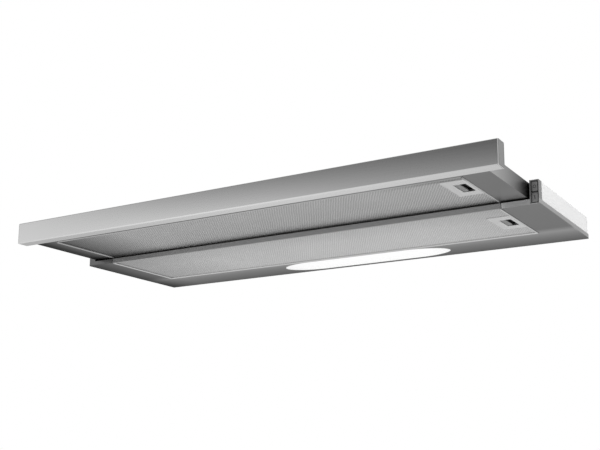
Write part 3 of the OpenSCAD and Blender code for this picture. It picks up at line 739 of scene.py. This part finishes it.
def handle_plate(node, body):
    """A pressed plate with a finger window.

    It is a ring of rounded rectangles: the skirt, the bevelled outer edge, the flat face, the
    roll into the window, and back along the inner face.
    """
    lowest, highest, centre = box(node)
    width, length = (highest - lowest)[:2]
    bevel = sizes().plate_bevel
    roll = 0.5 * MM
    window = np.array([WINDOW_RIGHT - WINDOW_LEFT, WINDOW_LENGTH])
    shift = [(WINDOW_LEFT + WINDOW_RIGHT) / 2, 0]
    growing, falling = quarter_round(bevel)
    outer = [(0, PLATE_DEPTH), *zip(growing, falling)]
    growing, falling = quarter_round(roll)
    inner = [*zip(falling, growing), (1 * MM, PLATE_SHEET)]
    back = [(1.5 * MM, PLATE_SHEET), (PLATE_SHEET, bevel), (PLATE_SHEET, PLATE_DEPTH)]

    def outline(inset):
        return round_rect(width - 2 * inset, length - 2 * inset, max(2.5 * MM - inset, 1 * MM))

    loops = [outline(inset) for inset, _ in outer]
    loops += [round_rect(*(window + 2 * grow), 1.2 * MM + grow) + shift for grow, _ in inner]
    loops += [outline(inset) for inset, _ in back]
    heights = [depth for _, depth in outer + inner + back]
    plate = loft(loops, heights, origin=(centre[0], centre[1], lowest[2]), ring=True)
    add_piece(node + "_plate", [plate], body, "handle_grey", (node,))


def handle_pocket(node, body):
    """The dark tray behind the plate: a ring of rounded rectangles, closed by a soft plate at its back."""
    lowest, highest, centre = box(node)
    width, length = (highest - lowest)[:2] - 1 * MM
    depth = highest[2] - lowest[2]
    wall = 1 * MM
    gap = 0.3 * MM
    rings = [(gap, PLATE_DEPTH), (gap, depth - 0.3 * MM), (0.6 * MM, depth), (wall + gap, depth),
             (wall + gap, PLATE_SHEET + 0.2 * MM), (gap, PLATE_SHEET + 0.2 * MM)]
    loops = [round_rect(width - 2 * inset, length - 2 * inset, 2 * MM) for inset, _ in rings]
    origin = (centre[0], centre[1], lowest[2])
    walls = loft(loops, [height for _, height in rings], origin=origin, ring=True)
    half = np.array([width / 2 - wall, length / 2 - wall])
    back = soft_box((*(centre[:2] - half), lowest[2] + depth - 1 * MM),
                    (*(centre[:2] + half), lowest[2] + depth - 0.1 * MM), 0.2 * MM)
    add_piece(node + "_pocket", [walls, back], body, "black_plastic")


def latch_tongue(node, body, handle):
    """The latch: a ribbed tongue behind the window, a bridge beside it and two bolts to the frame.

    The tongue's face is a grid over its width and length; its height is a row of round ribs, the
    absolute value of a sine along the length, on a slope that falls away from the window's left.
    """
    far_x = high(node)[0]
    pad = middle(handle)
    base = low(handle)[2]
    left, right = -11 * MM, 2.6 * MM
    half = WINDOW_LENGTH / 2 - 0.6 * MM
    front = 0.75 * MM
    back = 3.4 * MM
    rows, columns = 91, 9
    along = np.linspace(-half, half, rows)[:, None]
    across = np.linspace(0, 1, columns)[None, :]
    ribs = 0.9 * MM * np.abs(np.sin(along / half * math.pi * 4.5)) ** 0.5
    height = front + 0.9 * MM - ribs * np.sin(across * math.pi) ** 0.2
    top = np.stack([np.broadcast_to(pad[0] + left + across * (right - left), height.shape),
                    np.broadcast_to(pad[1] + along, height.shape), base + height], axis=2)
    under = top.copy()
    under[..., 2] = base + back
    faces = [*grid_faces(rows, columns), *(grid_faces(rows, columns)[:, ::-1] + rows * columns)]
    grid = np.arange(rows * columns).reshape(rows, columns)
    rim = np.concatenate([grid[:, 0], grid[-1, 1:], grid[-2::-1, -1], grid[0, -2:0:-1]])
    faces += [[a, b, b + rows * columns, a + rows * columns] for a, b in zip(rim, np.roll(rim, -1))]
    tongue = (np.concatenate([top.reshape(-1, 3), under.reshape(-1, 3)]), faces)
    bolt_y = np.array([-24, 24]) * MM
    bridge = soft_box((pad[0] + left, pad[1] + bolt_y[0] - 2.5 * MM, base + 2.4 * MM),
                      (pad[0] + left + 6 * MM, pad[1] + bolt_y[1] + 2.5 * MM, base + 3.6 * MM), 0.3 * MM)
    bolts = [soft_box((pad[0] + left + 1 * MM, pad[1] + y - 2.4 * MM, base + 2.4 * MM),
                      (far_x, pad[1] + y + 2.4 * MM, base + 3.6 * MM), 0.3 * MM) for y in bolt_y]
    add_piece(node + "_tongue", [tongue, bridge, *bolts], body, "button_grey", (node,))


# The controls

def push_button(node, body, symbol):
    """A push button: rounded rectangles from its stem's plate to a softly crowned front face."""
    lowest, highest, centre = box(node)
    width, _, height = highest - lowest
    bevel = 0.8 * MM
    growing, falling = quarter_round(bevel)
    insets = [0, 0, *growing, width * 0.2, width * 0.34]
    places = [8 * MM, bevel + 0.3 * MM, *(0.3 * MM + falling), 0.12 * MM, 0.08 * MM]
    loops = [round_rect(width - 2 * inset, height - 2 * inset, max(1.5 * MM - inset, 0.4 * MM), 6)
             for inset in insets]
    origin = (centre[0], lowest[1], centre[2])
    key = loft(loops, places, "xzy", origin)
    stem = revolve([(0.01 * MM, 7 * MM), (1.8 * MM, 7 * MM), (1.8 * MM, 14.2 * MM), (1.5 * MM, 14.5 * MM),
                    (0.01 * MM, 14.5 * MM)], origin, 32, "xzy")
    add_piece(node + "_key", [key, stem], body, "button_grey", (node,))
    if symbol == "ring":
        turn = full_turn(12)
        section = np.stack([2.0 * MM + 0.4 * MM * np.cos(turn), 0.1 * MM + 0.25 * MM * np.sin(turn)], axis=1)
        sign = revolve(section, origin, 48, "xzy")
    else:
        bar = [round_rect(1.1 * MM * size, 6 * MM * size, 0.5 * MM * size, 6) for size in (1, 1, 0.7)]
        sign = loft(bar, [0.4 * MM, 0.0, -0.1 * MM], "xzy", origin)
    add_piece(node + "_sign", [sign], body, "black_plastic")


def button_bezels():
    """A dark rim around both buttons: rounded rectangles in a closed ring."""
    section = np.array([(0.35, 0.3), (0.35, -0.05), (0.6, -0.12), (1.0, -0.12), (1.2, 0), (1.2, 0.3)]) * MM
    front = low("right_end_piece")[1] + 0.1 * MM
    rings = []
    for node in ("light_button", "fan_button"):
        lowest, highest, centre = box(node)
        width, _, height = highest - lowest
        loops = [round_rect(width + 2 * grow, height + 2 * grow, 1.2 * MM + grow, 6) for grow in section[:, 0]]
        rings.append(loft(loops, section[:, 1], "xzy", (centre[0], front, centre[2]), ring=True))
    add_piece("button_bezels", rings, "hood_body", "rubber")


# The lamp

def lamp_cover():
    """The opal lens: outlines with straight sides and elliptical ends, from its hidden rim to its crown."""
    lowest, highest, centre = box("lamp_lens")
    rim = 1.1 * MM
    half_length = (highest[0] - lowest[0]) / 2 - rim
    half_width = (highest[1] - lowest[1]) / 2 - rim
    end = half_width * 2.1
    turn = np.linspace(-math.pi / 2, math.pi / 2, 25)

    def outline(inset):
        bow = np.stack([np.cos(turn) * (end - inset), np.sin(turn) * (half_width - inset)], axis=1)
        right = bow + [half_length - end, 0]
        return np.concatenate([right, -right])

    crown = sizes().lens_crown
    share = np.linspace(0, 0.96, 12)
    insets = [-rim, -rim, 0, 0, *(half_width * share)]
    dome = 0.25 * MM * (1 - share) - crown * (1 - (1 - share) ** 2)
    heights = [highest[2], 1 * MM, 1 * MM, 0.4 * MM, *dome]
    origin = (centre[0], centre[1], lowest[2])
    lens = loft([outline(inset) for inset in insets], heights, origin=origin)
    add_piece("lamp_cover", [lens], "hood_body", "lamp_glow", ("lamp_lens",), 50.0)
    trim_loops = [outline(inset * MM) for inset in (0.35, 0.35, -0.2, -0.9, -1.3)]
    trim = loft(trim_loops, [0.9 * MM, -0.1 * MM, -0.4 * MM, -0.4 * MM, 0.0], origin=origin, ring=True)
    add_piece("lamp_trim", [trim], "hood_body", "body_steel")


# Beads around the filters

def filter_beads():
    """A light half-round bead on each filter's edge: a half circle carried along its two sides, and along its
    back for the lower filter.
    """
    radius = sizes().bead_radius
    for node, name, body, slot in (("lower_filter_frame", "lower_filter_bead", "hood_body", "plain_steel"),
                                   ("upper_filter_frame", "upper_filter_bead", "drawer", "filter_rim")):
        lowest, highest = low(node), high(node)
        left = -highest[0] + radius
        right = highest[0] - radius
        front = lowest[1] + radius
        back = highest[1] - radius
        z = lowest[2] + 0.15 * MM
        paths = [[(left, back, z), (left, front, z)], [(right, front, z), (right, back, z)]]
        if body == "hood_body":
            paths.append([(left, back, z), (right, back, z)])
        add_piece(name, [sweep(half_round(radius), path) for path in paths], body, slot)


# The blower

def fan_wheel():
    """The drum wheel: forward-curved blades between a hub cup and an inlet ring.

    A blade is a thin arc in plan. Its middle line is a circle's arc, its thickness a half sine
    along it, and the whole set of blades is one array of turned copies.
    """
    lowest, highest, centre = box("fan_wheel")
    radius = (highest[0] - lowest[0]) / 2
    height = highest[2] - lowest[2]
    inner = radius - 14 * MM
    count = sizes().blade_count
    share = np.linspace(0, 1, 9)
    line_radius = inner + 13 * MM * share
    line_angle = 0.16 * np.sin(share * math.pi * 0.5)
    half_thick = 0.55 * MM * np.sin(share * math.pi) + 0.12 * MM
    tilt = half_thick / line_radius
    section_radius = np.concatenate([line_radius, line_radius[::-1]])
    section_angle = np.concatenate([line_angle + tilt, (line_angle - tilt)[::-1]])
    turns = full_turn(count)
    levels = np.array([1 * MM, height - 1 * MM])
    angle = turns[:, None, None] + section_angle[None, None, :] + 0 * levels[None, :, None]
    ray = section_radius[None, None, :] + 0 * angle
    z = lowest[2] + levels[None, :, None] + 0 * angle
    blades = np.stack([centre[0] + ray * np.cos(angle), centre[1] + ray * np.sin(angle), z], axis=3)
    columns = len(section_radius)
    one = [*grid_faces(2, columns, False, True), np.arange(columns), np.arange(columns) + columns]
    parts = [(blades[at], one) for at in range(count)]
    cup = (high("fan_motor")[0] - middle("fan_motor")[0]) / MM + 3
    edge, top = radius / MM, height / MM
    hub = [(4.05, 0), (10, 0), (10, 5), (cup + 1.5, 5), (cup + 1.5, top - 1.5), (edge, top - 1.5),
           (edge, top), (cup, top), (cup, 6.5), (10, 6.5), (10, 9), (4.05, 9)]
    origin = (centre[0], centre[1], lowest[2])
    parts.append(revolve(np.array(hub) * MM, origin, 96))
    ring = [(inner, 0), (radius, 0), (radius, 2 * MM), (inner + 2 * MM, 2 * MM), (inner, 1.2 * MM)]
    parts.append(revolve(ring, origin, 96))
    add_piece("fan_drum", parts, "wheel", "wheel_grey", ("fan_wheel",))


# The top

def lid_ribs():
    """A ring of moulded ribs around the motor, on the blower's lid.

    It is a polar grid. Its height over the lid is a small base plus a rib's height times a
    rounded wave, cos(n t) clipped at 0, and both fall to 0 at the ring's two edges.
    """
    centre = middle("fan_wheel")
    base = high("blower_lid")[2]
    inner, outer, count = 44 * MM, 68 * MM, 48
    steps = count * 10
    angle = full_turn(steps)[:, None]
    share = np.concatenate([[0], np.linspace(0, 1, 25), [1]])[None, :]
    edge = np.clip(np.minimum(share, 1 - share) * 14, 0, 1)
    rib = np.clip(np.cos(count * angle) * 1.4, 0, 1) ** 0.5
    height = base + (0.5 * MM + 1.1 * MM * rib) * np.sin(edge * math.pi / 2) + 0.02 * MM
    radius = inner + (outer - inner) * share + 0 * angle
    height[:, [0, -1]] = base - 0.2 * MM
    x = centre[0] + radius * np.cos(angle)
    y = centre[1] + radius * np.sin(angle)
    ring = (np.stack([x, y, height], axis=2), grid_faces(steps, share.shape[1], True, True))
    add_piece("lid_ribs", [ring], "hood_body", "black_plastic")


def spigot_beads():
    """The rolled lip of the exhaust spigot and the bead that holds a hose: small closed rings."""
    centre = middle("exhaust_spigot")
    top = high("exhaust_spigot")[2]
    wall = 60 * MM
    turn = full_turn(16)
    rings = []
    for thick, z in ((1.4 * MM, top - 1.4 * MM), (1.0 * MM, top - 9 * MM)):
        section = np.stack([wall - 0.4 * MM + thick * np.cos(turn), z + thick * np.sin(turn)], axis=1)
        rings.append(revolve(section, (centre[0], centre[1], 0), 128))
    add_piece("spigot_beads", rings, "hood_body", "black_plastic")


def terminal_lid():
    """The terminal box's lid: a shallow soft box with a raised field."""
    lowest, highest = low("terminal_box_lid"), high("terminal_box_lid")
    margin = np.array([7 * MM, 7 * MM, 0])
    lid = soft_box(lowest, highest, 0.6 * MM, 3 * MM)
    field = soft_box(lowest + margin + [0, 0, 0.8 * MM], highest - margin + [0, 0, 0.7 * MM],
                     0.5 * MM, 4 * MM)
    add_piece("terminal_lid", [lid, field], "hood_body", "white_paint", ("terminal_box_lid",))


# The operators

class HOOD_OT_finishes(bpy.types.Operator):
    """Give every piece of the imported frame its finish."""
    bl_idname = "hood.finishes"
    bl_label = "Finishes"

    def execute(self, context):
        make_finishes()
        dress_nodes()
        return {"FINISHED"}


class HOOD_OT_bar(bpy.types.Operator):
    """Make the front bar and its end caps."""
    bl_idname = "hood.bar"
    bl_label = "Front bar"

    def execute(self, context):
        bar_shell()
        bar_cap("bar_cap_left", -1)
        bar_cap("bar_cap_right", 1)
        return {"FINISHED"}


class HOOD_OT_handles(bpy.types.Operator):
    """Make the handle and the latch of each grease filter."""
    bl_idname = "hood.handles"
    bl_label = "Filter handles"

    def execute(self, context):
        for side, body, catch in (("lower", "hood_body", "lower_catch"), ("upper", "drawer", "upper_catch")):
            handle = side + "_filter_handle"
            handle_plate(handle, body)
            handle_pocket(handle, body)
            latch_tongue(side + "_latch", catch, handle)
        return {"FINISHED"}


class HOOD_OT_controls(bpy.types.Operator):
    """Make the two push buttons and the rims around them."""
    bl_idname = "hood.controls"
    bl_label = "Push buttons"

    def execute(self, context):
        push_button("light_button", "light_key", "ring")
        push_button("fan_button", "fan_key", "bar")
        button_bezels()
        return {"FINISHED"}


class HOOD_OT_lamp(bpy.types.Operator):
    """Make the lamp's opal cover and its trim."""
    bl_idname = "hood.lamp"
    bl_label = "Lamp cover"

    def execute(self, context):
        lamp_cover()
        return {"FINISHED"}


class HOOD_OT_beads(bpy.types.Operator):
    """Make the beads along the edges of the grease filters."""
    bl_idname = "hood.beads"
    bl_label = "Filter beads"

    def execute(self, context):
        filter_beads()
        return {"FINISHED"}


class HOOD_OT_wheel(bpy.types.Operator):
    """Make the fan wheel with its curved blades."""
    bl_idname = "hood.wheel"
    bl_label = "Fan wheel"

    def execute(self, context):
        fan_wheel()
        return {"FINISHED"}


class HOOD_OT_top(bpy.types.Operator):
    """Make the fine pieces on top: ribs, beads and the terminal box's lid."""
    bl_idname = "hood.top"
    bl_label = "Blower top"

    def execute(self, context):
        lid_ribs()
        spigot_beads()
        terminal_lid()
        return {"FINISHED"}


class HOOD_OT_stage(bpy.types.Operator):
    """Make the floor, the lights, the surroundings and the camera."""
    bl_idname = "hood.stage"
    bl_label = "Stage"

    def execute(self, context):
        make_floor()
        make_surroundings()
        make_lights()
        make_camera()
        return {"FINISHED"}


# The stage

# The light on the walls that gloss sees: pairs of height, as a share of the ramp's range, and level
FRONT_LEVELS = ((0.0, 1.14), (0.093, 1.14), (0.119, 0.98), (0.142, 0.79), (0.176, 0.62), (0.187, 0.53),
                (0.224, 0.26), (0.29, 0.22), (0.47, 0.6), (0.7, 0.9), (1.0, 1.0))
BACK_LEVELS = ((0.0, 1.0), (0.25, 1.0), (0.32, 0.62), (0.4, 0.42), (0.62, 0.4), (0.75, 1.0))

# The light of the surroundings on matt surfaces
ROOM_LEVEL = 0.5

# The photograph's width, focal length and upward shift in its pixels
PHOTO_WIDTH = 600
LENS_PIXELS = 978.73
SHIFT_PIXELS = 60

# The camera's place in metres, and its yaw, pitch and roll in degrees
CAMERA_PLACE = (0.87557, -1.39587, -0.38782)
CAMERA_ANGLES = (31.83, 10.83, 0.36)


def make_floor():
    """A wide pale floor far below the hood, which hangs in its cabinet. It fades out at its rim."""
    radius = 4.5
    height = -1.5
    steps = 96
    angle = full_turn(steps)
    rim = np.stack([radius * np.cos(angle), radius * np.sin(angle), np.full(steps, height)], axis=1)
    mesh = bpy.data.meshes.new("floor")
    mesh.from_pydata(rim, [], [tuple(range(steps))])
    floor = bpy.data.objects.new("floor", mesh)
    bpy.context.scene.collection.objects.link(floor)
    finish = Finish("floor_paint")
    x, y = finish.place("XY")
    cloud = finish.noise((0.8, 0.8, 0.8), 2.0)
    finish.set(Base_Color=finish.mix(cloud, grey(0.8), grey(0.83)), Roughness=0.8)
    glossy, = finish.outputs("ShaderNodeLightPath", "Is Glossy Ray")
    glow = finish.node("ShaderNodeEmission", None, {"Color": grey(1), "Strength": 1.0})
    clear = finish.node("ShaderNodeBsdfTransparent")
    rim_share = ((x * x + y * y) / (radius * radius)).step(0.4, 0.95)
    paint = Value(finish, finish.shader.outputs["BSDF"])
    solid = finish.node("ShaderNodeMixShader", None, {0: glossy, 1: paint, 2: glow})
    surface = finish.node("ShaderNodeMixShader", None, {0: rim_share, 1: solid, 2: clear})
    finish.feed(finish.tree.nodes["Material Output"].inputs["Surface"], surface)
    mesh.materials.append(finish.material)


def make_surroundings():
    """A white studio: the camera sees plain white, and gloss sees its walls darken in two places.

    In front they are dark some way above the horizon, and behind just below it.
    """
    world = bpy.data.worlds.new("studio")
    bpy.context.scene.world = world
    world.use_nodes = True
    studio = Nodes(world.node_tree)
    background = studio.tree.nodes["Background"]
    coords, = studio.outputs("ShaderNodeTexCoord", "Generated")
    y, z = studio.outputs("ShaderNodeSeparateXYZ", "Y", "Z", inputs={"Vector": coords})
    front = studio.ramp(z, 0.15, 1.0, FRONT_LEVELS)
    behind = studio.ramp(z, -0.5, 0.3, BACK_LEVELS)
    side = y.step(-0.2, 0.2)
    walls = front * (1 - side) + behind * side
    camera_ray, glossy, clear = studio.outputs("ShaderNodeLightPath", "Is Camera Ray", "Is Glossy Ray",
                                               "Is Transmission Ray")
    gloss_ray = glossy.larger(clear)
    level = camera_ray + (1 - camera_ray) * (gloss_ray * walls + (1 - gloss_ray) * ROOM_LEVEL)
    studio.feed(background.inputs["Strength"], level)
    background.inputs["Color"].default_value = grey(1)


def area_light(name, place, target, size, power):
    """A soft rectangular lamp at one place that points at another."""
    lamp = bpy.data.lights.new(name, "AREA")
    lamp.shape = "RECTANGLE"
    lamp.size, lamp.size_y = size
    lamp.energy = power
    holder = bpy.data.objects.new(name, lamp)
    holder.location = place
    holder.rotation_euler = (Vector(target) - Vector(place)).to_track_quat("-Z", "Y").to_euler()
    holder.visible_glossy = False
    bpy.context.scene.collection.objects.link(holder)


def make_lights():
    """Soft lamps at the front left, under the hood, above it and at its right."""
    area_light("left_lamp", (-2.4, -2.2, -0.6), (-0.2, 0, 0), (1.6, 1.6), 30)
    area_light("low_lamp", (0.3, 0.1, -1.4), (0.1, 0.1, 0), (2.6, 1.6), 16)
    area_light("top_lamp", (0.6, 0.8, 2.2), (0, 0, 0), (2.0, 2.0), 20)
    area_light("right_lamp", (2.6, -0.8, 0.35), (0.4, 0, 0.05), (1.2, 1.2), 22)


def make_camera():
    """The photograph's view, solved from the straight edges of the hood."""
    camera = bpy.data.cameras.new("camera")
    camera.sensor_width = 36.0
    camera.lens = LENS_PIXELS * camera.sensor_width / PHOTO_WIDTH
    camera.shift_y = SHIFT_PIXELS / PHOTO_WIDTH
    camera.clip_end = 50
    holder = bpy.data.objects.new("camera", camera)
    yaw, pitch, roll = (math.radians(angle) for angle in CAMERA_ANGLES)
    level = Matrix.Rotation(yaw, 4, "Z") @ Matrix.Rotation(math.pi / 2 + pitch, 4, "X")
    turned = level @ Matrix.Rotation(roll, 4, "Z")
    holder.matrix_world = Matrix.Translation(CAMERA_PLACE) @ turned
    bpy.context.scene.collection.objects.link(holder)
    bpy.context.scene.camera = holder
    bpy.context.scene.view_settings.view_transform = "Standard"


class HOOD_PT_panel(bpy.types.Panel):
    """Buttons for the hood's pieces and the settings that they read."""
    bl_label = "Range hood"
    bl_space_type = "VIEW_3D"
    bl_region_type = "UI"
    bl_category = "Range hood"

    def draw(self, context):
        for operator in OPERATORS:
            self.layout.operator(operator.bl_idname)
        for group in (context.scene.hood_sizes, context.scene.hood_colours):
            for name in group.__annotations__:
                self.layout.prop(group, name)


OPERATORS = (HOOD_OT_finishes, HOOD_OT_bar, HOOD_OT_handles, HOOD_OT_controls, HOOD_OT_lamp,
             HOOD_OT_beads, HOOD_OT_wheel, HOOD_OT_top, HOOD_OT_stage)
CLASSES = (HoodSizes, HoodColours, *OPERATORS, HOOD_PT_panel)


def register():
    """Makes the classes and settings known to Blender."""
    for item in CLASSES:
        bpy.utils.register_class(item)
    bpy.types.Scene.hood_sizes = PointerProperty(type=HoodSizes)
    bpy.types.Scene.hood_colours = PointerProperty(type=HoodColours)


def unregister():
    """Takes the classes and settings away again."""
    del bpy.types.Scene.hood_colours
    del bpy.types.Scene.hood_sizes
    for item in reversed(CLASSES):
        bpy.utils.unregister_class(item)


def main():
    register()
    bpy.ops.hood.finishes()
    bpy.ops.hood.bar()
    bpy.ops.hood.handles()
    bpy.ops.hood.controls()
    bpy.ops.hood.lamp()
    bpy.ops.hood.beads()
    bpy.ops.hood.wheel()
    bpy.ops.hood.top()
    bpy.ops.hood.stage()


if __name__ == "__main__":
    main()
